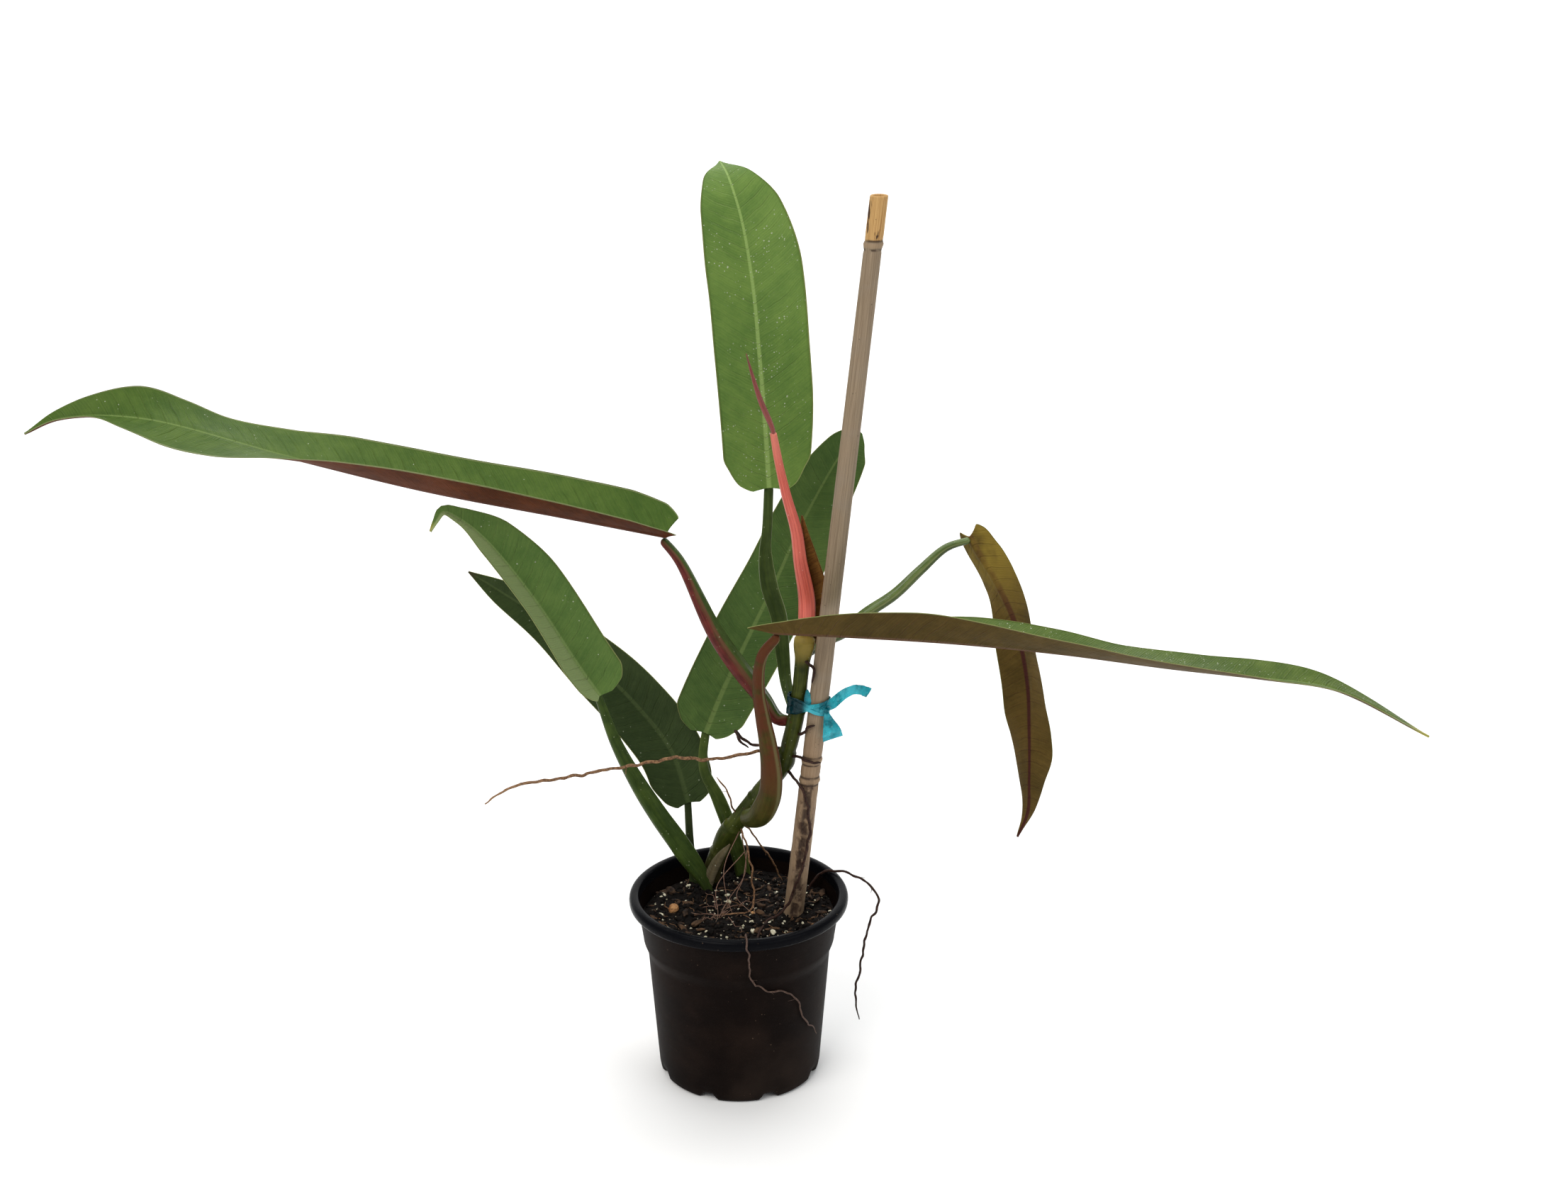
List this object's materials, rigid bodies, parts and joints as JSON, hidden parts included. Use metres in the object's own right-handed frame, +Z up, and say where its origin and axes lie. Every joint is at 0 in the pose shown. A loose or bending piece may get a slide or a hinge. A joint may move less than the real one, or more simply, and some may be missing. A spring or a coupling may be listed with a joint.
{
  "type": "potted climbing philodendron with bamboo cane",
  "caption": "Young climbing philodendron with long strap leaves, aerial roots and a red new-leaf sheath, in a round black nursery pot, tied to a bamboo cane.",
  "frame": {"origin": "centre of the flat underside of the pot, on the surface that it stands on", "axes": "+Z up; +X to the right of the pot's front, along the widest spread of the two long leaves; +Y from the front to the back"},
  "size_m": [0.7066, 0.1516, 0.493],
  "materials": {
    "pot_plastic": "satin",
    "potting_mix": "matte",
    "bamboo": "matte",
    "stem_green": "satin",
    "leaf_green": "satin",
    "leaf_dark": "satin",
    "leaf_olive": "satin",
    "cataphyll_red": "satin",
    "spike_red": "satin",
    "dried_sheath": "matte",
    "tape": "gloss",
    "root_pink": "matte",
    "root_brown": "matte",
    "clay_pebble": "matte",
    "perlite": "matte",
    "bark": "matte"
  },
  "bodies": {
    "root": {"pot": "pot_plastic", "potting_mix": "potting_mix", "bamboo_cane": "bamboo", "main_stem": "stem_green", "leaf_stalk_left_long": "stem_green", "leaf_blade_left_long": "leaf_green", "leaf_stalk_upright": "stem_green", "leaf_blade_upright": "leaf_green", "leaf_stalk_back_tall": "stem_green", "leaf_blade_back_tall": "leaf_green", "leaf_stalk_left_upper": "stem_green", "leaf_blade_left_upper": "leaf_green", "leaf_stalk_left_lower": "stem_green", "leaf_blade_left_lower": "leaf_dark", "leaf_stalk_right_long": "stem_green", "leaf_blade_right_long": "leaf_green", "leaf_stalk_right_drooping": "stem_green", "leaf_blade_right_drooping": "leaf_olive", "cataphyll": "cataphyll_red", "new_leaf_spike": "spike_red", "dried_sheath_flap": "dried_sheath", "tape_loop": "tape", "tape_tail_upper": "tape", "tape_tail_lower": "tape", "aerial_root_left_long": "root_pink", "aerial_root_curl": "root_pink", "aerial_root_node_up": "root_pink", "aerial_root_soil_reach": "root_pink", "aerial_root_soil_loop": "root_pink", "aerial_root_over_rim_front": "root_pink", "aerial_root_cane_grip": "root_brown", "aerial_root_cane_upper": "root_brown", "aerial_root_cane_down": "root_brown", "aerial_root_cane_side": "root_brown", "aerial_root_over_rim_right": "root_brown", "clay_pebble": "clay_pebble", "perlite_1": "perlite", "perlite_2": "perlite", "perlite_3": "perlite", "perlite_4": "perlite", "perlite_5": "perlite", "perlite_6": "perlite", "perlite_7": "perlite", "bark_chip_1": "bark", "bark_chip_2": "bark"}
  },
  "joints": []
}
